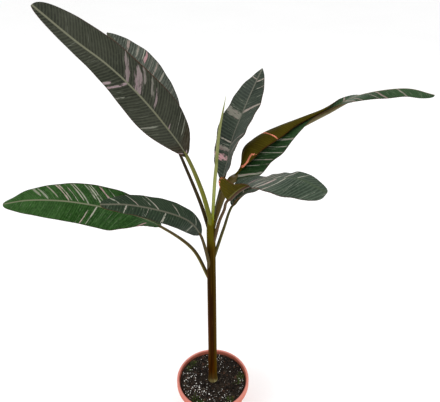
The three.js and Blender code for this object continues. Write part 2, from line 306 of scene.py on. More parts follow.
def under_material(name, seed, dark, light, rib, salmon):
    """The olive and bronze underside of a blade, with salmon where a streak lies."""
    shader = Shader(name, roughness=0.5, specular=0.03)
    start, side, near_rib = shader.named_place("leaf_place")
    strength, rosy = shader.named_place("leaf_marks")[:2]
    main, fine = veins(shader, start)
    place = shader.object_place()
    cloud = shader.noise(place, 18, 3)
    grain = shader.noise(place, 300, 2)
    stripes = along_veins(shader, start, side, 3.0, 0.8, seed)

    base = shader.mix(shader.between(cloud, 0.3, 0.7), dark, light)
    base = shader.layer(base, light, stripes, 0.45, 0.7, 0.0, 0.5)
    base = shader.layer(base, shade(dark, 0.55), main, 0.0, 1.0, 0.0, 0.35)
    base = shader.layer(base, shade(light, 1.5), fine, 0.2, 1.0, 0.0, 0.25)
    mask = streak_mask(shader, start, side, strength, seed)
    base = shader.mix(shader.times(mask, shader.between(rosy, 0.0, 0.8, 0.25, 0.95)), base, salmon)
    margin = shader.between(shader.math("ABSOLUTE", side), 0.95, 0.99, 0.0, 0.8)
    base = shader.mix(margin, base, (0.075, 0.022, 0.010))
    base = shader.layer(base, rib, near_rib, 0.2, 0.8)

    height = shader.math("MULTIPLY_ADD", main, -0.6, shader.times(fine, 0.25))
    height = shader.plus(height, shader.times(grain, 0.25))
    shader.bump(height, 0.5, 0.0004)
    return shader.finish(base, shader.between(cloud, 0.3, 0.7, 0.45, 0.6))


def stalk_material(name, at_stem, at_blade, below):
    """A stalk and midrib. stalk_place holds the share along it and the angle round it."""
    shader = Shader(name, roughness=0.42, specular=0.14)
    share, angle = shader.named_place("stalk_place")[:2]
    place = shader.object_place()
    fibre_place = shader.join(shader.times(share, 7), angle, 0.0)
    fibre = shader.noise(fibre_place, 5.0, 4, 0.6)
    blotch = shader.noise(place, 55, 3)
    base = shader.mix(shader.between(share, 0.1, 0.6), at_stem, at_blade)
    turned = shader.math("ABSOLUTE", shader.math("SUBTRACT", angle, math.pi))
    base = shader.layer(base, below, turned, 0.7, 1.5, 0.85, 0.0)
    base = shader.layer(base, below, fibre, 0.45, 0.7, 0.0, 0.4)
    base = shader.layer(base, shade(at_stem, 0.4), blotch, 0.55, 0.75, 0.0, 0.5)
    shader.bump(shader.plus(fibre, shader.times(blotch, 0.4)), 0.3, 0.0005)
    return shader.finish(base, shader.between(blotch, 0.3, 0.7, 0.36, 0.52))


# ---- leaf shapes --------------------------------------------------------------------------
def half(width, lift, curl=(0, 0, 0)):
    """One half of a blade. Each list goes in even steps from the base of the blade to its tip:
    width in mm, lift in degrees above the midrib, and curl, how far it bends to its margin."""
    return dict(width=width, lift=lift, curl=curl)


# route, blade_from, faces, left, right and outline are those of the CAD source.
# stalk: its radius at the stem, where the blade starts and at the tip.
# slopes: how far a vein leans towards the tip, for each mm that it runs from the midrib, on the
# left half and the right.
# left_streaks, right_streaks: (place along the blade, width in mm, from, to, pink, cover), where
# from and to are shares of the way from midrib to margin, pink is 0 for white-grey and 1 for
# pink, and cover is how solid the streak is.
# upper: the settings of upper_material.
# stalk_colours: at the stem, at the blade, and along the side that faces down.
LEAVES = {
    "leaf_1_low_left": dict(
        route=[(-4, 3, 380), (-32, 20, 429), (-86, 50, 452), (-137, 65, 467), (-195, 80, 473),
            (-259, 95, 474), (-320, 100, 472), (-367, 100, 464)],
        blade_from=2,
        faces=[(0.4, 0.3, 0.8), (-0.05, -0.7, 0.7), (-0.1, -0.2, 1)],
        left=half([36, 38, 41], [5, -10, -5], [-10, -15, 0]),
        right=half([33, 36, 31], [14, 10, 6], [-6, -6, 0]),
        outline=(0.3, 0.5, 0.5), stalk=(3.7, 2.5, 1), slopes=(0.45, 0.95),
        left_streaks=[(0.4, 2.4, 0, 1, 0.2, 0.9), (0.44, 2.6, 0.3, 1, 0.4, 0.9),
            (0.475, 1.8, 0.6, 1, 0.5, 0.8), (0.06, 5, 0.55, 1, 0.7, 0.7)],
        right_streaks=[(0.345, 3.2, 0, 1, 0.05, 0.8), (0.365, 4, 0.1, 1, 0.05, 0.85),
            (0.385, 3, 0.3, 1, 0.05, 0.7), (0.455, 3.4, 0, 1, 0.05, 0.75),
            (0.475, 3, 0.2, 1, 0.05, 0.8), (0.56, 3, 0.1, 1, 0.3, 0.8), (0.58, 4, 0.1, 1, 0.3, 0.8),
            (0.71, 5, 0.1, 1, 0, 0.5), (0.74, 6, 0.3, 1, 0, 0.45), (0.29, 4, 0.4, 1, 0.7, 0.8),
            (0.24, 2, 0.3, 1, 0.1, 0.7), (0.52, 2, 0, 1, 0.2, 0.8), (0.64, 3, 0.2, 1, 0.2, 0.6)],
        upper=dict(dark=(0.009, 0.038, 0.003), light=(0.04, 0.098, 0.026), rib=(0.14, 0.15, 0.09),
                   deep=(0.003, 0.024, 0.0004), deep_reach=24, hairlines=0.3, shine=0.05, rib_highlight_and_shade=0.4),
        stalk_colours=((0.04, 0.024, 0.004), (0.05, 0.036, 0.01), (0.15, 0.125, 0.012)),
    ),
    "leaf_2_left": dict(
        route=[(-3, -4, 412), (-8, -10, 446), (-16, -17, 484), (-29, -28, 514), (-47, -38, 533),
            (-76, -49, 551), (-112, -60, 566), (-146, -70, 573)],
        blade_from=2,
        faces=[(0, -0.85, 0.5), (0.15, -0.65, 0.75), (0.1, -0.45, 0.9)],
        left=half([18, 18, 18], [12, 8, 4], [-10, -10, 0]),
        right=half([11, 18, 19], [14, 8, 4], [-6, -6, 0]),
        outline=(0.34, 0.5, 0.42), stalk=(3.2, 2.2, 0.9), slopes=(0.3, 1.25),
        left_streaks=[(0.8, 2.2, 0, 1, 0.1, 0.9), (0.47, 3.6, 0.1, 1, 0.15, 0.8),
            (0.16, 3, 0.1, 0.9, 0.1, 0.5), (0.62, 1.2, 0.1, 0.9, 0.1, 0.6)],
        right_streaks=[(0.7, 1.8, 0, 1, 0.1, 0.8), (0.53, 2.2, 0, 1, 0.2, 0.8),
            (0.58, 1.4, 0.3, 0.9, 0.1, 0.7), (0.33, 1.8, 0, 1, 0.1, 0.7), (0.12, 2, 0.2, 1, 0, 0.6),
            (0.85, 3, 0, 1, 0.1, 0.7)],
        upper=dict(dark=(0.006, 0.016, 0.006), light=(0.018, 0.033, 0.015), rib=(0.1, 0.1, 0.07),
                   deep=(0.004, 0.01, 0.004), deep_reach=5, hairlines=0.35),
        stalk_colours=((0.045, 0.028, 0.005), (0.03, 0.018, 0.006), (0.11, 0.09, 0.012)),
    ),
    "leaf_3_small_right": dict(
        route=[(6, 0, 434), (20, 9, 478), (33, 22, 511), (58, 36, 531), (104, 60, 530),
            (146, 75, 516)],
        blade_from=2,
        faces=[(-0.5, 0, 0.8), (0, 0, 1), (0.2, 0, 1)],
        left=half([19, 19], [30, 10, 0]),
        right=half([19, 19], [30, 10, 0]),
        outline=(0.4, 0.5, 0.6), stalk=(3.1, 2.1, 0.9), slopes=(0.7, 0.7),
        left_streaks=[(0.2, 3, 0, 1, 0.2, 0.8), (0.55, 2.5, 0.1, 1, 0.6, 0.8)],
        right_streaks=[(0.05, 4, 0.1, 1, 0.1, 0.8), (0.3, 2, 0, 1, 0.3, 0.8)],
        upper=dict(dark=(0.01, 0.024, 0.009), light=(0.028, 0.05, 0.022), rib=(0.1, 0.09, 0.05),
                   deep=(0.005, 0.016, 0.004), deep_reach=5, hairlines=0.4),
        stalk_colours=((0.055, 0.04, 0.006), (0.035, 0.032, 0.008), (0.12, 0.12, 0.016)),
    ),
    "leaf_4_back_left": dict(
        route=[(-3, 5, 478), (-17, 20, 520), (-41, 45, 573), (-54, 56, 602), (-82, 80, 663),
            (-111, 100, 709), (-151, 115, 752)],
        blade_from=3,
        faces=[(0.5, -0.75, 0.4), (0.4, -0.75, 0.5), (0.3, -0.7, 0.6)],
        left=half([30, 30, 30], [12, 10, 8]),
        right=half([31, 33, 34], [12, 10, 8]),
        outline=(0.42, 0.5, 0.8), stalk=(3.3, 2.1, 0.9), slopes=(0.6, 0.5),
        left_streaks=[(0.5, 4, 0.1, 1, 0.7, 0.6), (0.7, 3, 0.1, 1, 0.3, 0.6)],
        right_streaks=[(0.8, 5, 0, 1, 0.35, 0.6), (0.63, 5, 0.4, 1, 0.9, 0.8),
            (0.655, 1.6, 0.4, 1, 0, 0.9), (0.52, 3, 0.2, 1, 0.2, 0.55),
            (0.44, 3.5, 0.2, 1, 0.1, 0.55), (0.3, 2, 0.3, 1, 0.1, 0.4), (0.71, 3, 0.3, 1, 0.2, 0.6),
            (0.57, 1.6, 0.2, 1, 0.2, 0.6)],
        # Leaf 4's light tone carries a painted grey reflection of the white sky on top of the leaf's own
        # green.
        upper=dict(dark=(0.026, 0.034, 0.025), light=(0.075, 0.085, 0.068), rib=(0.06, 0.06, 0.035),
                   deep=(0.01, 0.016, 0.01), deep_reach=7, hairlines=0.6),
        stalk_colours=((0.03, 0.018, 0.003), (0.014, 0.008, 0.004), (0.06, 0.045, 0.008)),
    ),
    "leaf_5_cupped_right": dict(
        route=[(7, -4, 474), (13, -9, 504), (20, -17, 529), (25, -25, 551), (47, -47, 587),
            (79, -78, 616), (109, -107, 633), (139, -130, 628)],
        blade_from=3,
        faces=[(-0.5, 0.35, 0.75), (-0.15, 0.15, 1), (0, 0.1, 1), (-0.1, -0.3, 0.9),
            (-0.25, -0.7, 0.7)],
        left=half([14, 22, 21, 14, 13], [70, 50, 20, 8, 5, 0, 0, 0, 0],
                  [20, 10, 0, 0, 0]),
        right=half([66, 54, 34, 16, 9, 9, 13, 19, 25, 29, 32, 33, 33, 33, 33, 33, 33],
                   [85, 88, 50, 8, 0, 0, 0, 0, 0], [30, 0, -10, -10, -10]),
        outline=(0.5, 0.35, 0.4), stalk=(3, 2.2, 0.9), slopes=(1.3, -0.55),
        left_streaks=[(0.28, 4, 0, 1, 1, 0.9), (0.36, 3.4, 0, 1, 0.1, 0.9),
            (0.46, 3.6, 0, 1, 0.1, 0.9), (0.56, 3.6, 0, 1, 0.1, 0.95), (0.66, 3, 0, 1, 0.1, 0.8),
            (0.77, 3, 0.1, 0.9, 0.1, 0.6)],
        right_streaks=[(0.08, 60, 0.86, 1, 1, 1), (0.54, 4, 0, 1, 0.2, 0.9),
            (0.61, 4.2, 0, 1, 0.3, 0.95), (0.69, 3.4, 0, 1, 0.2, 0.7)],
        upper=dict(dark=(0.013, 0.026, 0.014), light=(0.046, 0.066, 0.043), rib=(0.04, 0.06, 0.032),
                   deep=(0.01, 0.022, 0.01), deep_reach=6, hairlines=0.6),
        stalk_colours=((0.055, 0.03, 0.008), (0.045, 0.018, 0.009), (0.07, 0.04, 0.014)),
    ),
    "leaf_6_upright": dict(
        route=[(5, 8, 500), (11, 16, 527), (18, 30, 553), (26, 45, 582), (34, 63, 610), (48, 80, 641),
            (62, 95, 670), (78, 110, 701)],
        blade_from=2,
        faces=[(-0.9, -0.4, 0), (-0.75, -0.5, 0.4), (-0.4, -0.75, 0.55)],
        left=half([34, 33, 29], [20, 15, 10]),
        right=half([36, 37, 43], [20, 15, 10]),
        outline=(0.41, 0.5, 0.86), stalk=(3, 2, 0.9), slopes=(0.2, 0.6),
        left_streaks=[(0.56, 13, 0, 1, 0.2, 0.42), (0.18, 10, 0, 1, 0.8, 0.95),
            (0.33, 2.5, 0, 0.8, 0.2, 0.8), (0.26, 8, 0, 1, 0.3, 0.42), (0.9, 1.8, 0, 1, 0.3, 0.8)],
        right_streaks=[(0.6, 5, 0, 1, 0.3, 0.65), (0.88, 2.4, 0, 1, 0.2, 0.9),
            (0.3, 2.6, 0.1, 0.9, 0.6, 0.5), (0.2, 3, 0.2, 1, 0.6, 0.5), (0.8, 1.6, 0.3, 1, 0.2, 0.6)],
        upper=dict(dark=(0.01, 0.018, 0.011), light=(0.034, 0.046, 0.031), rib=(0.11, 0.11, 0.085),
                   deep=(0.01, 0.018, 0.01), deep_reach=4, hairlines=0.5),
        stalk_colours=((0.05, 0.042, 0.01), (0.026, 0.018, 0.01), (0.09, 0.095, 0.018)),
    ),
    "leaf_7_long_right": dict(
        route=[(7, 3, 500), (19, 13, 538), (32, 24, 557), (60, 60, 569), (84, 79, 583),
            (133, 105, 607), (188, 125, 628), (242, 140, 649), (315, 150, 656), (366, 150, 645)],
        blade_from=2,
        faces=[(-0.3, -0.5, 0.8), (-0.27, -0.34, 0.9), (-0.1, -0.1, 1), (-0.1, -0.2, 0.95),
            (0.1, -0.3, 0.9)],
        left=half([16, 20, 71, 65, 56, 42, 28, 20, 14, 12, 12, 16, 20, 26, 30, 30, 30],
                  [10, -10, -5, 0, 0, -30, -60, -45, -25],
                  [200, 285, 285, 280, 280, 275, 270, 262, 250, 160, 60, 20, -20, -20, -20, -20, -20]),
        right=half([60, 52, 39, 31, 29, 23, 17, 13, 12, 13, 15, 19, 22, 25, 27, 27, 26],
                   [0, 0, 0, 15, 35, 15, -5, -8, -5], [0, 0, -10, 0, 0, -10, -25, -30, -40]),
        outline=(0.25, 0.7, 0.42), stalk=(3.6, 6.4, 1), slopes=(0.5, 0.8),
        left_streaks=[(0.055, 3, 0.3, 1, 1, 1), (0.19, 3.5, 0.3, 1, 1, 1), (0.6, 4, 0, 1, 0.5, 0.5),
            (0.8, 4, 0, 1, 0.5, 0.7)],
        right_streaks=[(0.02, 7, 0, 1, 0.1, 0.7), (0.09, 2.4, 0, 1, 0.1, 0.8),
            (0.13, 3, 0.1, 1, 0.1, 0.8), (0.18, 2.2, 0, 1, 0.1, 0.9), (0.22, 2.6, 0, 1, 0.15, 0.8),
            (0.27, 6, 0, 1, 0.2, 0.6), (0.6, 4, 0, 1, 0.5, 0.6), (0.63, 3, 0, 1, 0.6, 0.6),
            (0.7, 3, 0, 1, 0.5, 0.5), (0.735, 5, 0, 1, 0.6, 0.5), (0.83, 4, 0, 1, 0.4, 0.5)],
        upper=dict(dark=(0.004, 0.02, 0.003), light=(0.022, 0.056, 0.018), rib=(0.1, 0.075, 0.03),
                   deep=(0.002, 0.015, 0.001), deep_reach=9, hairlines=0.5),
        stalk_colours=((0.06, 0.042, 0.007), (0.15, 0.13, 0.06), (0.09, 0.055, 0.014)),
    ),
    "leaf_8_top_left": dict(
        route=[(-2, -3, 508), (-13, -5, 556), (-33, -8, 614), (-61, -8, 661), (-95, -4, 705),
            (-130, 0, 740), (-168, 3, 770), (-213, 6, 810)],
        blade_from=2,
        faces=[(0.75, -0.5, 0.4), (0, -1, 0.1), (0.35, -0.75, 0.55)],
        left=half([24, 30, 26, 18, 17], [15, 12, 8]),
        right=half([31, 33, 34, 36, 38], [15, 12, 8]),
        outline=(0.31, 0.5, 0.48), stalk=(3.9, 2.7, 1.1), slopes=(0.55, 0.7),
        left_streaks=[(0.47, 5, 0, 1, 0.95, 0.6), (0.5, 5, 0.6, 1, 0.9, 0.7),
            (0.4, 4, 0.6, 1, 0, 0.4), (0.2, 4, 0.3, 1, 0.05, 0.4), (0.02, 3, 0.5, 1, 0.9, 0.8)],
        right_streaks=[(0.475, 7, 0, 0.9, 0.8, 0.45), (0.405, 14, 0, 0.8, 0.9, 0.5),
            (0.29, 4, 0.1, 0.8, 0.8, 0.45), (0.32, 5, 0.35, 0.9, 0.3, 0.35),
            (0.37, 5, 0.5, 1, 0.4, 0.4), (0.08, 1.6, 0.4, 1, 0.1, 0.45),
            (0.12, 1.6, 0.4, 1, 0.1, 0.4), (0.01, 4, 0, 0.4, 1, 0.9), (0.17, 2.4, 0, 0.2, 0.9, 0.5)],
        upper=dict(dark=(0.012, 0.015, 0.007), light=(0.034, 0.037, 0.024), rib=(0.15, 0.15, 0.1),
                   deep=(0.028, 0.016, 0.005), deep_reach=3, hairlines=0.25, pink=(0.4, 0.28, 0.31)),
        stalk_colours=((0.12, 0.125, 0.006), (0.115, 0.112, 0.05), (0.165, 0.165, 0.04)),
    ),
}
ROLLED_LEAF = dict(
    route=[(3, 0, 511), (5, 2, 546), (7, 4, 575), (11, 7, 624), (14, 9, 650), (19, 11, 677), (22, 12, 694)],
    radii=[2.6, 2.6, 2.2, 0.7],
)

BLADE_THICKNESS = 0.7
ROW_STEP = 1.2                # mm between rows along a blade
COLUMNS = 24                  # from midrib to margin
COLUMN_CROWDING = 1.35        # over 1, so that they stand closer near the midrib
TIP_WIDTH = 1.2               # narrowest half-width
RIB_WIDTH = 1.5
RIB_GROOVE = 0.5              # its depth
RIPPLE_HEIGHT = 0.16          # of the blade between its main veins
MARGIN_WAVE = 1.1             # how far the margin rises and falls


def keyed(keys, shares):
    """Values at shares of evenly stepped keys, on a smooth curve through them."""
    keys = np.asarray(keys, dtype=float)
    last = len(keys) - 1
    padded = np.concatenate([[2 * keys[0] - keys[1]], keys, [2 * keys[-1] - keys[-2]]])
    steps = np.clip(np.asarray(shares, dtype=float), 0, 1) * last
    index = np.minimum(steps.astype(int), last - 1)
    t = steps - index
    if keys.ndim > 1:
        t = t[..., None]
    p0, p1, p2, p3 = (padded[index + k] for k in range(4))
    v1, v2 = (p2 - p0) / 2, (p3 - p1) / 2
    return (2 * p1 - 2 * p2 + v1 + v2) * t ** 3 + (3 * p2 - 3 * p1 - 2 * v1 - v2) * t ** 2 + v1 * t + p1


class Path:
    """A route measured by its real length, in mm."""

    STEPS = 400

    def __init__(self, route):
        self.route = route
        self.shares = np.linspace(0, 1, self.STEPS + 1)
        points = keyed(route, self.shares)
        steps = np.linalg.norm(np.diff(points, axis=0), axis=1)
        self.lengths = np.concatenate([[0], np.cumsum(steps)])
        self.length = self.lengths[-1]

    def length_to(self, index):
        return self.lengths[round(index / (len(self.route) - 1) * self.STEPS)]

    def point(self, distance):
        return keyed(self.route, np.interp(distance, self.lengths, self.shares))

    def direction(self, distance):
        ahead = self.point(np.minimum(distance + 1, self.length))
        behind = self.point(np.maximum(distance - 1, 0))
        return unit(ahead - behind)


def unit(vectors):
    return vectors / np.linalg.norm(vectors, axis=-1, keepdims=True)


def blade_outline(outline, u):
    """Half-width as a share of the greatest."""
    peak, base, tip = outline
    rising = (1 - (1 - np.minimum(u, peak) / peak) ** 2) ** base
    falling = np.maximum(0, 1 - ((np.maximum(u, peak) - peak) / (1 - peak)) ** 2) ** tip
    return np.where(u < peak, rising, falling)


def blade_frames(leaf, path, u):
    """Midrib points, lengthways, up and side directions at shares u of the blade."""
    start = path.length_to(leaf["blade_from"])
    distance = start + (path.length - start) * u
    tangent = path.direction(distance)
    up = keyed(leaf["faces"], u)
    up = unit(up - (up * tangent).sum(-1, keepdims=True) * tangent)
    return path.point(distance), tangent, up, np.cross(tangent, up)


def half_points(keys, outline, frames, u, v, sign, seed):
    """A grid of points of one half, rows along the blade and columns from midrib to margin."""
    at, tangent, up, side = frames
    lift = np.radians(keyed(keys["lift"], u))[:, None]
    curl = np.radians(keyed(keys["curl"], u))[:, None]
    curl = np.where(np.abs(curl) < 1e-3, 1e-3, curl)
    width = np.maximum(keyed(keys["width"], u) * blade_outline(outline, u), TIP_WIDTH)[:, None]
    angle = lift + curl * v
    out = (np.sin(angle) - np.sin(lift)) / curl
    rise = (np.cos(lift) - np.cos(angle)) / curl
    fullness = np.minimum(1, width / 12)
    slow = np.sin(2 * np.pi * (3.3 * u[:, None] + seed))
    quick = np.sin(2 * np.pi * (7.1 * u[:, None] + 2 * seed))
    rise = rise * width + MARGIN_WAVE * v ** 3 * fullness * (slow + 0.6 * quick)
    points = at[:, None] + sign * (width * out)[..., None] * side[:, None] + rise[..., None] * up[:, None]
    return points, width * v


def streak_values(leaf, name, start, v, length):
    """The strength of the streaks at each point of one half, and how pink and solid they are."""
    strength, pink, cover = (np.zeros(start.shape) for _ in range(3))
    for at, width, low, high, rosy, solid in leaf[f"{name}_streaks"]:
        across = np.abs(start - at * length) / (width / 2)
        ends = np.minimum(1, (v - low + 0.1) / 0.2) * np.minimum(1, (high - v + 0.1) / 0.2)
        here = np.clip(0.5 + ends - across, 0, 1) * (ends > 0)
        nearer = here > strength
        pink = np.where(nearer, rosy, pink)
        cover = np.where(nearer, solid, cover)
        strength = np.maximum(strength, here)
    return strength, pink, cover


def build_blade(name, leaf, seed, materials):
    """The blade as a thin closed sheet with its own upper side and underside."""
    path = Path(leaf["route"])
    length = path.length - path.length_to(leaf["blade_from"])
    rows = int(length / ROW_STEP) + 1
    u = np.linspace(0, 1, rows)
    v = (np.arange(COLUMNS + 1) / COLUMNS)[None, :] ** COLUMN_CROWDING
    frames = blade_frames(leaf, path, u)
    sheets, places, marks = [], [], []
    for half_name, sign in (("left", -1), ("right", 1)):
        wave_seed = seed + 0.37 * sign
        points, lateral = half_points(leaf[half_name], leaf["outline"], frames, u, v, sign, wave_seed)
        slope = leaf["slopes"][0 if sign < 0 else 1]
        start = u[:, None] * length - slope * lateral * (0.85 + 0.3 * v)
        wide_v = np.broadcast_to(v, start.shape)
        near_rib = np.exp(-(lateral / RIB_WIDTH) ** 2)
        place = np.stack([start / 10, sign * wide_v, near_rib], -1)
        mark = np.stack(streak_values(leaf, half_name, start, wide_v, length), -1)
        ripple = RIPPLE_HEIGHT * np.sin(2 * np.pi * start / (VEIN_SPACING * 10))
        ripple = ripple * np.minimum(1, lateral / 6)
        sink = RIB_GROOVE * np.exp(-(lateral / (0.7 * RIB_WIDTH)) ** 2) * (1 - 0.7 * u[:, None])
        points = points + (ripple - sink)[..., None] * frames[2][:, None]
        order = slice(None, 0, -1) if sign < 0 else slice(None)
        sheets.append(points[:, order])
        places.append(place[:, order])
        marks.append(mark[:, order])
    grid, place, mark = (np.concatenate(parts, 1) for parts in (sheets, places, marks))
    columns = grid.shape[1]

    across = np.gradient(grid, axis=1)
    lengthways = np.gradient(grid, axis=0)
    normal = unit(np.cross(across, lengthways))
    upper = grid + normal * BLADE_THICKNESS / 2
    under = grid - normal * BLADE_THICKNESS / 2
    index = np.arange(rows * columns).reshape(rows, columns)
    a, b = index[:-1, :-1].ravel(), index[:-1, 1:].ravel()
    c, d = index[1:, 1:].ravel(), index[1:, :-1].ravel()
    lower = rows * columns
    faces = [np.stack([a, b, c, d], -1), np.stack([d, c, b, a], -1) + lower]
    for edge, turn in ((index[:, 0], 1), (index[:, -1], -1), (index[0], -1), (index[-1], 1)):
        strip = np.stack([edge[:-1], edge[1:], edge[1:] + lower, edge[:-1] + lower], -1)
        faces.append(strip if turn > 0 else strip[:, ::-1])
    kinds = [0] * len(a) + [1] * (sum(len(f) for f in faces) - len(a))
    points = np.concatenate([upper.reshape(-1, 3), under.reshape(-1, 3)]) * MM
    piece = add_mesh(f"{name}_blade", points, np.concatenate(faces), materials, name, kinds)
    add_place(piece, "leaf_place", np.concatenate([place.reshape(-1, 3)] * 2))
    add_place(piece, "leaf_marks", np.concatenate([mark.reshape(-1, 3)] * 2))
    return piece


# ---- stalks -------------------------------------------------------------------------------
STALK_SIDES = 20
SHEATH_LENGTH = 42            # mm that a stalk's sheath runs down the stem


def sheath_points(path, steps=14):
    """Centre points that lead up from inside the stem into the start of a stalk."""
    start = path.point(np.array([0.0]))[0]
    direction = path.direction(np.array([2.0]))[0]
    outward = start[:2] / max(np.linalg.norm(start[:2]), 1e-6)
    foot = np.array([outward[0] * 1.5, outward[1] * 1.5, start[2] - SHEATH_LENGTH])
    t = np.linspace(0, 1, steps, endpoint=False)[:, None]
    rising = np.array([0, 0, SHEATH_LENGTH])
    return ((2 * t ** 3 - 3 * t ** 2 + 1) * foot + (t ** 3 - 2 * t ** 2 + t) * rising
            + (3 * t ** 2 - 2 * t ** 3) * start + (t ** 3 - t ** 2) * direction * SHEATH_LENGTH)


def sweep(name, centres, radii, ups, groove, material, node):
    """A tube along centres with a groove along its upper side."""
    count = STALK_SIDES
    angles = np.linspace(0, 2 * np.pi, count, endpoint=False)
    tangent = unit(np.gradient(centres, axis=0))
    up = unit(ups - (ups * tangent).sum(-1, keepdims=True) * tangent)
    side = np.cross(tangent, up)
    offset = np.minimum(angles, 2 * np.pi - angles)
    dent = 1 - groove[:, None] * np.exp(-(offset / 0.55) ** 2)[None, :]
    size = radii[:, None] * dent
    points = (centres[:, None] + (size * np.cos(angles))[..., None] * up[:, None]
              - (size * np.sin(angles))[..., None] * side[:, None])
    rows = len(centres)
    piece = add_mesh(name, points.reshape(-1, 3) * MM, ring_faces(rows, count), [material], node)
    share = np.broadcast_to(np.linspace(0, 1, rows)[:, None], (rows, count))
    round_it = np.broadcast_to(angles[None, :], (rows, count))
    add_place(piece, "stalk_place", np.stack([share, round_it, np.zeros((rows, count))], -1).reshape(-1, 3))
    return piece


def build_stalk(name, leaf, material):
    """The stalk, which rises out of the stem's sheaths and runs on as the midrib."""
    path = Path(leaf["route"])
    blade_start = path.length_to(leaf["blade_from"])
    at_stem, at_blade, at_tip = leaf["stalk"]
    distance = np.arange(0, path.length - 2, 2.0)
    share = np.clip((distance - blade_start) / (path.length - blade_start), 0, 1)
    before = np.clip(distance / blade_start, 0, 1)
    radii = np.where(share > 0, at_blade + (at_tip * 0.6 - at_blade) * share,
                     at_stem + (at_blade - at_stem) * before)
    up = keyed(leaf["faces"], share)
    tangent = path.direction(distance)
    up = unit(up - (up * tangent).sum(-1, keepdims=True) * tangent)
    sunk = np.minimum(1, share / 0.04) * radii
    centres = path.point(distance) - sunk[:, None] * up

    lead = sheath_points(path)
    lead_radii = at_stem * np.linspace(0.5, 1.0, len(lead)) ** 0.5
    lead_up = np.repeat(up[:1], len(lead), axis=0)
    groove = np.concatenate([np.linspace(0, 0.3, len(lead)), 0.3 * (1 - np.minimum(1, share * 6))])
    return sweep(f"{name}_stalk", np.concatenate([lead, centres]), np.concatenate([lead_radii, radii]),
                 np.concatenate([lead_up, up]), groove, material, name)


def build_rolled_leaf(material):
    """The newest leaf, still rolled, with the free edge of the roll winding up it."""
    path = Path(ROLLED_LEAF["route"])
    distance = np.arange(-30, path.length, 1.5)
    share = np.clip(distance / path.length, 0, 1)
    centres = path.point(np.maximum(distance, 0))
    centres[:, 2] += np.minimum(distance, 0)
    radii = keyed(ROLLED_LEAF["radii"], share)
    radii = radii * np.where(share > 0.9, 1 - (share - 0.9) * 7, 1)
    turn = 2.2 * np.pi * share
    ups = np.stack([np.cos(turn), np.sin(turn), np.zeros(len(turn))], -1)
    groove = np.full(len(centres), 0.22)
    return sweep("leaf_9_rolled_spear", centres, radii, ups, groove, material,
                 "leaf_9_rolled")


# ---- stem ---------------------------------------------------------------------------------
def stem_material():
    """Sheaths that go from pale at the soil through maroon-brown to yellow-green at the crown, with a
    painted lit east side, where the pale foot is painted stronger as a highlight.
    """
    shader = Shader("stem_sheaths", roughness=0.5, specular=0.01)
    place = shader.object_place()
    east, _, height = shader.parts(place)
    ragged = shader.math("MULTIPLY_ADD", shader.noise(place, 45, 3, stretch=(1, 1, 0.15)), 0.05, -0.025)
    level = shader.plus(height, ragged)
    fibre = shader.noise(place, 260, 4, 0.6, stretch=(1, 1, 0.045))
    broad = shader.noise(place, 60, 3, stretch=(1, 1, 0.06))

    maroon = shader.mix(shader.between(broad, 0.35, 0.65), (0.018, 0.005, 0.0003), (0.085, 0.022, 0.0006))
    olive = shader.mix(shader.between(broad, 0.35, 0.65), (0.024, 0.012, 0.0004), (0.085, 0.042, 0.0010))
    base = shader.mix(shader.between(level, 0.33, 0.43), maroon, olive)
    # Painted light: the east side of the stem is painted a lighter olive, as if lit from the right.
    painted_lit_side = shader.between(east, 0.001, 0.007)
    base = shader.mix(shader.times(painted_lit_side, 0.7), base, (0.062, 0.040, 0.002))
    base = shader.layer(base, (0.075, 0.060, 0.003), level, 0.44, 0.48)
    base = shader.layer(base, (0.20, 0.21, 0.004), level, 0.492, 0.514)
    base = shader.layer(base, (0.07, 0.055, 0.018), level, 0.120, 0.150, 0.6, 0.0)
    # The pale foot is the stem's own paler base, painted much stronger on the lit east side as a painted
    # highlight.
    foot = shader.times(shader.between(level, 0.118, 0.130, 0.9, 0.0), shader.plus(painted_lit_side, 0.3))
    base = shader.mix(foot, base, (0.36, 0.32, 0.14))
    base = shader.layer(base, (0.11, 0.055, 0.004), fibre, 0.5, 0.72, 0.0, 0.35)
    base = shader.layer(base, (0.008, 0.004, 0.0005), fibre, 0.25, 0.42, 0.5, 0.0)
    shader.bump(shader.plus(fibre, shader.times(broad, 0.6)), 0.35, 0.0007)
    return shader.finish(base, shader.between(broad, 0.3, 0.7, 0.45, 0.6))


STEM_SIDES = 96
STEM_STEP = 1.5               # mm between rings
STEM_FOOT_RADIUS = 8.3        # at the soil
STEM_NECK_RADIUS = 7.5        # from STEM_NECK_HEIGHT up
STEM_NECK_HEIGHT = 450
STEM_FLARE = 1.6              # how much wider the stem is just above the soil
STEM_CLOSING = 26             # length over which the top closes in round the stalks
# angle at the soil, turn on the way up, depth in mm and top of each sheath's free edge
SEAMS = ((0.5, 1.15, 0.55, 478), (2.6, -0.9, 0.5, 430), (4.4, 0.7, 0.45, 500), (5.6, -0.5, 0.5, 395))
SEAM_RUN = 380                # mm that a seam takes for its turn
SEAM_TAPER = 10               # mm over which it fades out at its top


def stem_radius(height):
    """Radius in mm at a height in mm."""
    share = np.clip((height - SOIL_TOP) / (STEM_NECK_HEIGHT - SOIL_TOP), 0, 1)
    radius = STEM_FOOT_RADIUS + (STEM_NECK_RADIUS - STEM_FOOT_RADIUS) * share
    flare = STEM_FLARE * np.exp(-((height - SOIL_TOP - 2) / 7) ** 2)
    closing = np.clip((STEM_TOP - height) / STEM_CLOSING, 0, 1) ** 0.5
    return (radius + flare) * (0.45 + 0.55 * closing)


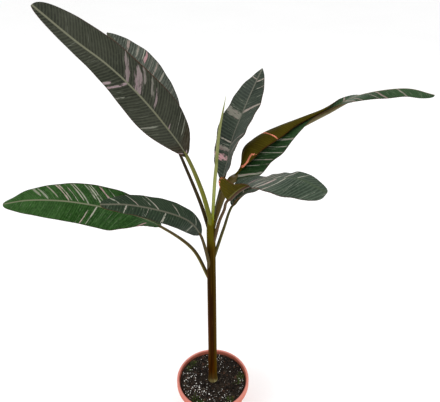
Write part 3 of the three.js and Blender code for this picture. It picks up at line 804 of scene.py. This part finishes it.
def build_stem(material):
    """The stem of wrapped sheaths: each sheath's free edge stands out as a slanting seam."""
    heights = np.arange(SOIL_TOP - 12, STEM_TOP + 1, STEM_STEP)
    angles = np.linspace(0, 2 * np.pi, STEM_SIDES, endpoint=False)
    h, a = np.meshgrid(heights, angles, indexing="ij")
    radius = stem_radius(h)
    for first, lean, depth, top in SEAMS:
        seam = first + lean * (h - SOIL_TOP) / SEAM_RUN
        gap = np.mod(a - seam, 2 * np.pi)
        reach = np.clip((top - h) / SEAM_TAPER, 0, 1)
        radius = radius + depth * np.exp(-gap / 0.8) * reach - depth * 0.25
    fibres = 0.12 * np.sin(9 * a + 0.01 * h) + 0.08 * np.sin(17 * a - 0.013 * h)
    radius = radius + fibres
    points = np.stack([radius * np.cos(a), radius * np.sin(a), h], -1).reshape(-1, 3) * MM
    faces = ring_faces(len(heights), STEM_SIDES)
    return add_mesh("stem_sheaths", points, faces, [material], "pseudostem")


# ---- pot ----------------------------------------------------------------------------------
def pot_material():
    """Coral terracotta-coloured plastic: satin, paler and dusty where it is handled, with a painted
    highlight on top of the lip and painted shade just inside the rim.
    """
    shader = Shader("pot_plastic", roughness=0.5, specular=0.2)
    place = shader.object_place()
    cloud = shader.noise(place, 9, 4)
    scuff = shader.noise(place, 70, 4, 0.65, stretch=(1, 1, 0.35))
    grain = shader.noise(place, 900, 2)
    east, north, height = shader.parts(place)
    base = shader.mix(shader.between(cloud, 0.3, 0.7), (0.50, 0.125, 0.075), (0.60, 0.17, 0.105))
    base = shader.layer(base, (0.70, 0.30, 0.22), scuff, 0.56, 0.75, 0.0, 0.5)
    # Painted highlight: the top 3 mm of the pot, round the lip, is painted a paler, greyer coral.
    lip = shader.between(height, POT_HEIGHT - 0.003, POT_HEIGHT, 0.0, 0.5)
    base = shader.mix(lip, base, (0.56, 0.24, 0.21))
    # Painted shade: the inner edge of the lip and the top 1 to 2 cm of the inner wall are painted dark
    # brown.
    radius = shader.math("SQRT", shader.plus(shader.math("POWER", east, 2), shader.math("POWER", north, 2)))
    ragged = shader.math("MULTIPLY_ADD", scuff, 0.003, radius)
    outside = shader.between(ragged, RIM_RADIUS - 0.004, RIM_RADIUS - 0.0005)
    high = shader.between(height, POT_HEIGHT - 0.02, POT_HEIGHT - 0.01)
    inside = shader.times(shader.math("SUBTRACT", 1.0, outside), high)
    base = shader.mix(shader.times(inside, 0.75), base, (0.20, 0.055, 0.033))
    dirt = shader.noise(place, 38, 5, 0.7)
    base = shader.layer(base, (0.12, 0.06, 0.035), dirt, 0.60, 0.72, 0.0, 0.55)
    shader.bump(shader.plus(grain, shader.times(scuff, 0.8)), 0.12, 0.0004)
    return shader.finish(base, shader.between(scuff, 0.35, 0.7, 0.42, 0.62))


POT_SIDES = 144
POT_WALL = 1.8
POT_FOOT_RADIUS = 49
POT_FLOOR = 3                 # height of the base's inner side
RIM_BAND = 12                 # height of the thick band under the lip
RIM_STEP = 3                  # how far the band stands out from the wall
DRAIN_COUNT = 6
DRAIN_RADIUS = 4
DRAIN_CIRCLE = 32


def pot_profile():
    """The pot's section in mm, from the middle of its underside round to the middle inside."""
    height = POT_HEIGHT / MM
    rim = RIM_RADIUS / MM
    wall = POT_WALL
    foot = POT_FOOT_RADIUS

    def wall_at(z):
        return foot + (rim - RIM_STEP - foot) * z / height

    band = height - RIM_BAND
    points = [(0.5, 1.6), (24, 1.6), (25.5, 0.0), (42, 0.0)]
    points += rounded((foot - 0.5, 0), (42, 0), (wall_at(6), 6), 2.2)
    points += [(wall_at(z) - 0.07, z) for z in np.arange(14, band - 6, 3.2)]
    points += rounded((wall_at(band - 2), band - 2), (wall_at(band - 8), band - 8), (rim, band), 0.9, 4)
    points += rounded((rim, band - 0.4), (wall_at(band), band - 0.9), (rim, height), 1.1, 4)
    points += rounded((rim - 0.5, band + 6), (rim, band), (rim, height), 0.8, 3)
    points += rounded((rim, height), (rim, band), (rim - 6, height), 1.9, 6)
    inner = wall_at(height) - wall
    points += rounded((inner, height), (rim, height), (inner, height - 8), 1.6, 6)
    points += [(wall_at(height - 12) - wall, height - 12), (wall_at(60) - wall, 60)]
    corner = (wall_at(POT_FLOOR) - wall, POT_FLOOR)
    points += rounded(corner, (wall_at(20) - wall, 20), (0, POT_FLOOR), 1.5, 4)
    points += [(25, POT_FLOOR), (0.5, POT_FLOOR)]
    return points


def build_pot(material):
    """The turned pot, with drainage holes cut through its base."""
    profile = pot_profile()
    points = turned_points(profile, POT_SIDES) * MM
    faces = ring_faces(len(profile), POT_SIDES)
    pot = add_mesh("pot_shell", points, faces, [material], "nursery_pot")
    sides = 20
    cutter_points = []
    cutter_faces = []
    for k in range(DRAIN_COUNT):
        turn = 2 * math.pi * (k + 0.5) / DRAIN_COUNT
        centre = np.array([DRAIN_CIRCLE * math.cos(turn), DRAIN_CIRCLE * math.sin(turn), 0])
        cutter_faces += ring_faces(2, sides, first=len(cutter_points))
        cutter_points += list(turned_points([(DRAIN_RADIUS, -3), (DRAIN_RADIUS, 6)], sides) + centre)
    mesh = bpy.data.meshes.new("drain_cutters")
    mesh.from_pydata([tuple(p * MM) for p in cutter_points], [], cutter_faces)
    cutter = add_object("drain_cutters", mesh)
    cut = pot.modifiers.new("drains", "BOOLEAN")
    cut.object = cutter
    cut.operation = "DIFFERENCE"
    cut.solver = "EXACT"
    apply_modifiers(pot)
    bpy.data.objects.remove(cutter)
    return pot


def apply_modifiers(piece):
    """Replaces the piece's mesh by what its modifiers make of it."""
    evaluated = piece.evaluated_get(bpy.context.evaluated_depsgraph_get())
    mesh = bpy.data.meshes.new_from_object(evaluated)
    piece.modifiers.clear()
    piece.data = mesh


# ---- soil ---------------------------------------------------------------------------------
def soil_material():
    """Dark moist mix: near-black peat with brown and grey-brown crumbs."""
    shader = Shader("soil_mix", roughness=0.95, specular=0.08)
    place = shader.object_place()
    crumbs = shader.noise(place, 260, 5, 0.65)
    patches = shader.noise(place, 45, 3)
    wet = shader.noise(place, 22, 2)
    base = shader.mix(shader.between(crumbs, 0.35, 0.7), (0.003, 0.002, 0.002), (0.028, 0.020, 0.014))
    base = shader.layer(base, (0.045, 0.03, 0.02), patches, 0.5, 0.7, 0.0, 0.5)
    moss = shader.noise(place, 30, 3)
    base = shader.layer(base, (0.035, 0.05, 0.012), moss, 0.62, 0.72, 0.0, 0.45)
    shader.bump(crumbs, 0.8, 0.0015)
    return shader.finish(base, shader.between(wet, 0.4, 0.65, 0.62, 0.95))


def crumb_material(name, low, high, roughness):
    """One kind of loose piece on the soil, its colour varying from piece to piece."""
    shader = Shader(name, roughness=roughness, specular=0.1)
    place = shader.object_place()
    tone = shader.noise(place, 300, 3)
    broad = shader.noise(place, 60, 2)
    share = shader.plus(shader.between(tone, 0.3, 0.7, 0.0, 0.7), shader.between(broad, 0.4, 0.7, 0, 0.4))
    shader.bump(tone, 0.6, 0.0006)
    return shader.finish(shader.mix(share, low, high))


def soil_height(x, y):
    """Height in mm of the soil's surface."""
    radius = math.hypot(x, y)
    mound = SOIL_MOUND * math.exp(-(radius / 24) ** 2)
    place = Vector((x / 16, y / 16, 3.1))
    lumps = 1.5 * noise.noise(place) + 1.1 * noise.noise(place * 3.3) + 0.6 * noise.noise(place * 9.0)
    edge = -1.6 * max(0, (radius - 54) / 9) ** 2
    return SOIL_TOP + mound + lumps + edge - 0.6


def build_soil(material):
    """The bed of mix: a rough top of fine rings, and a plain side and underside."""
    rim = SOIL_RADIUS - 0.2
    rings, sides = 80, 240
    level = turned_points([(rim * ring / rings, 0) for ring in range(1, rings + 1)], sides)
    top = [(x, y, soil_height(x, y)) for x, y, _ in level]
    below = turned_points([(rim - 1.5, SOIL_TOP - 12), (48, 5)], sides)
    points = np.array([(0, 0, soil_height(0, 0)), *top, *below]) * MM
    faces = [(0, 1 + k, 1 + (k + 1) % sides) for k in range(sides)]
    faces += [(a, d, c, b) for a, b, c, d in ring_faces(rings + 2, sides, 1, caps=False)]
    last = 1 + (rings + 1) * sides
    faces.append(tuple(last + k for k in reversed(range(sides))))
    return add_mesh("soil_bed", points, faces, [material], "potting_soil")


GOLDEN = (1 + 5 ** 0.5) / 2
LUMP_POINTS = unit(np.array([
    (-1, GOLDEN, 0), (1, GOLDEN, 0), (-1, -GOLDEN, 0), (1, -GOLDEN, 0),
    (0, -1, GOLDEN), (0, 1, GOLDEN), (0, -1, -GOLDEN), (0, 1, -GOLDEN),
    (GOLDEN, 0, -1), (GOLDEN, 0, 1), (-GOLDEN, 0, -1), (-GOLDEN, 0, 1),
]))
LUMP_FACES = [
    (0, 11, 5), (0, 5, 1), (0, 1, 7), (0, 7, 10), (0, 10, 11), (1, 5, 9), (5, 11, 4), (11, 10, 2),
    (10, 7, 6), (7, 1, 8), (3, 9, 4), (3, 4, 2), (3, 2, 6), (3, 6, 8), (3, 8, 9), (4, 9, 5),
    (2, 4, 11), (6, 2, 10), (8, 6, 7), (9, 8, 1),
]


def split_lump(points, faces):
    """The lump with each face cut in four."""
    points = [tuple(p) for p in points]
    middles = {}

    def middle(i, j):
        key = (min(i, j), max(i, j))
        if key not in middles:
            middles[key] = len(points)
            points.append(tuple(unit((np.array(points[i]) + np.array(points[j])) / 2)))
        return middles[key]

    split = []
    for a, b, c in faces:
        ab, bc, ca = middle(a, b), middle(b, c), middle(c, a)
        split += [(a, ab, ca), (b, bc, ab), (c, ca, bc), (ab, bc, ca)]
    return np.array(points), split


def scatter(name, count, sizes, flatness, material, seed, where, fine=False, lift=0.25):
    """Loose lumps on the soil, joined in one piece. where(random) gives a place in mm.

    sizes and flatness are ranges. A fine lump is round and smooth, the others are jagged.
    """
    rng = random.Random(seed)
    shape, shape_faces = LUMP_POINTS, LUMP_FACES
    if fine:
        shape, shape_faces = split_lump(shape, shape_faces)
    points, faces = [], []
    for _ in range(count):
        x, y = where(rng)
        size = rng.uniform(*sizes) * rng.choice((0.75, 1, 1, 1.25)) / 2
        squash = np.array([rng.uniform(0.75, 1.25), rng.uniform(0.6, 1.0), rng.uniform(*flatness)])
        bumps = np.array([rng.uniform(0.78, 1.18) for _ in range(len(shape))])[:, None]
        turn = rng.uniform(0, 2 * math.pi)
        tilt = rng.uniform(-0.5, 0.5)
        local = shape * bumps * squash * size
        cos, sin = math.cos(tilt), math.sin(tilt)
        local = local @ np.array([(1, 0, 0), (0, cos, sin), (0, -sin, cos)])
        cos, sin = math.cos(turn), math.sin(turn)
        local = local @ np.array([(cos, sin, 0), (-sin, cos, 0), (0, 0, 1)])
        centre = np.array([x, y, soil_height(x, y) + size * squash[2] * lift])
        first = len(points) * len(shape)
        points.append(local + centre)
        faces += [tuple(i + first for i in face) for face in shape_faces]
    points = np.concatenate(points) * MM
    return add_mesh(name, points, faces, [material], "potting_soil", smooth=fine)


def in_ring(low, high):
    """Places spread evenly between two radii."""
    def place(rng):
        radius = math.sqrt(rng.uniform(low ** 2, high ** 2))
        angle = rng.uniform(0, 2 * math.pi)
        return radius * math.cos(angle), radius * math.sin(angle)
    return place


def near(centres, spread):
    """Places clustered round some centres."""
    def place(rng):
        x, y = rng.choice(centres)
        return x + rng.gauss(0, spread), y + rng.gauss(0, spread)
    return place


STEM_CLEARANCE = 10           # mm from the stem's middle that loose pieces keep


def clipped(place, reach):
    """The same places, drawn again until they lie inside the pot."""
    def inside(rng):
        while True:
            x, y = place(rng)
            if STEM_CLEARANCE < math.hypot(x, y) < reach:
                return x, y
    return inside


# mm from the stem's middle to the right and to the back
PERLITE_PATCHES = [(-46, -12), (-40, -28), (-24, -34), (-50, 6), (-6, -44), (30, -40)]
MOSS_TUFTS = [(55, 8), (52, -4), (-26, -50), (-18, -53), (-34, -44), (-48, 26), (-40, 40), (34, -46)]


def build_soil_cover():
    """Perlite, bark, crumbs of peat and a little moss."""
    reach = SOIL_RADIUS - 3
    perlite = crumb_material("perlite_grains", (0.62, 0.60, 0.55), (0.86, 0.85, 0.82), 0.85)
    bark = crumb_material("bark_chips", (0.020, 0.010, 0.006), (0.075, 0.040, 0.024), 0.85)
    peat = crumb_material("peat_crumbs", (0.002, 0.0015, 0.0015), (0.026, 0.019, 0.013), 0.95)
    moss = crumb_material("moss_tufts", (0.014, 0.026, 0.004), (0.060, 0.095, 0.014), 0.9)
    grit = crumb_material("soil_grit", (0.05, 0.042, 0.034), (0.24, 0.21, 0.17), 0.9)
    everywhere = in_ring(STEM_CLEARANCE, reach)
    patches = clipped(near(PERLITE_PATCHES, 12), reach)
    tufts = clipped(near(MOSS_TUFTS, 4.5), reach)
    scatter("soil_peat", 3000, (1.0, 3.4), (0.5, 0.9), peat, 11, in_ring(9, reach))
    scatter("soil_grit", 1100, (0.5, 1.5), (0.6, 0.9), grit, 16, everywhere, lift=0.8)
    scatter("soil_bark", 130, (2, 6), (0.15, 0.35), bark, 12, everywhere, lift=0.6)
    scatter("soil_perlite", 190, (0.8, 2.1), (0.6, 0.9), perlite, 13, in_ring(11, reach), fine=True)
    scatter("soil_perlite_left", 85, (1.0, 2.8), (0.6, 0.9), perlite, 14, patches, fine=True)
    scatter("soil_moss", 620, (0.8, 2.2), (0.6, 1.0), moss, 15, tufts, lift=0.7)


# ---- the plant ----------------------------------------------------------------------------
PALE = (0.36, 0.38, 0.30)
PINK = (0.50, 0.27, 0.29)
UNDERSIDE = dict(dark=(0.034, 0.026, 0.0008), light=(0.068, 0.054, 0.003), rib=(0.13, 0.12, 0.035),
                 salmon=(0.75, 0.24, 0.15))
SPEAR_COLOURS = ((0.19, 0.23, 0.012), (0.19, 0.20, 0.075), (0.26, 0.28, 0.08))
VEIN_SEED = 3.7               # how far apart the leaves' vein noises are
WAVE_SEED = 0.173             # and their margins' waves


def build_leaves():
    for number, (name, leaf) in enumerate(LEAVES.items(), start=1):
        seed = VEIN_SEED * number
        looks = dict(pale=PALE, pink=PINK) | leaf["upper"]
        upper = upper_material(f"{name}_upper", seed, **looks)
        under = under_material(f"{name}_under", seed, **UNDERSIDE)
        build_blade(name, leaf, WAVE_SEED * number, [upper, under])
        build_stalk(name, leaf, stalk_material(f"{name}_stalk", *leaf["stalk_colours"]))
    build_rolled_leaf(stalk_material("leaf_9_spear", *SPEAR_COLOURS))


# ---- floor, light and camera --------------------------------------------------------------
def build_stage():
    """A wide white floor under a white sky."""
    shader = Shader("floor_paper", roughness=0.9, specular=0.1)
    cloud = shader.noise(shader.object_place(), 1.3, 2)
    material = shader.finish(shader.mix(cloud, (0.90, 0.90, 0.90), (0.94, 0.94, 0.94)))
    mesh = bpy.data.meshes.new("floor")
    far = 14.0                # metres from the pot to the floor's edges
    corners = [(-far, -far, 0), (far, -far, 0), (far, far, 0), (-far, far, 0)]
    mesh.from_pydata(corners, [], [(0, 1, 2, 3)])
    mesh.materials.append(material)
    floor = add_object("floor", mesh)

    world = bpy.data.worlds.new("studio")
    world.use_nodes = True
    sky = world.node_tree.nodes["Background"]
    sky.inputs["Color"].default_value = (1.0, 1.0, 1.0, 1.0)
    sky.inputs["Strength"].default_value = 1.05
    bpy.context.scene.world = world


def add_light(name, place, size, power):
    """A round lamp that faces the middle of the plant."""
    lamp = bpy.data.lights.new(name, "AREA")
    lamp.shape = "DISK"
    lamp.size = size
    lamp.energy = power
    light = add_object(name, lamp)
    light.location = place
    light.rotation_euler = (PLANT_MIDDLE - Vector(place)).to_track_quat("-Z", "Y").to_euler()


PLANT_MIDDLE = Vector((0, 0, 0.45))
CAMERA_BACK = 0.608           # metres in front of the stem
CAMERA_RIGHT = 0.014
CAMERA_ABOVE_RIM = 0.795
CAMERA_DEPRESSION = 32.4      # degrees below the horizon
SENSOR = 36.0                 # mm wide
FOCAL_SHARE = 12 / 11         # focal length as a share of the sensor's width


def build_camera():
    lens = bpy.data.cameras.new("camera")
    lens.sensor_width = SENSOR
    lens.lens = SENSOR * FOCAL_SHARE
    camera = add_object("camera", lens)
    camera.location = (CAMERA_RIGHT, -CAMERA_BACK, POT_HEIGHT + CAMERA_ABOVE_RIM)
    camera.rotation_euler = (math.radians(90 - CAMERA_DEPRESSION), 0, 0)
    bpy.context.scene.camera = camera


build_pot(pot_material())
build_soil(soil_material())
build_soil_cover()
build_stem(stem_material())
build_leaves()
build_stage()
add_light("key", (-1.6, -1.4, 2.4), 1.6, 26)
add_light("fill", (1.8, -1.2, 1.6), 1.8, 6)
add_light("back", (0.4, 2.0, 1.9), 1.4, 8)
build_camera()
bpy.context.scene.view_settings.view_transform = "Standard"
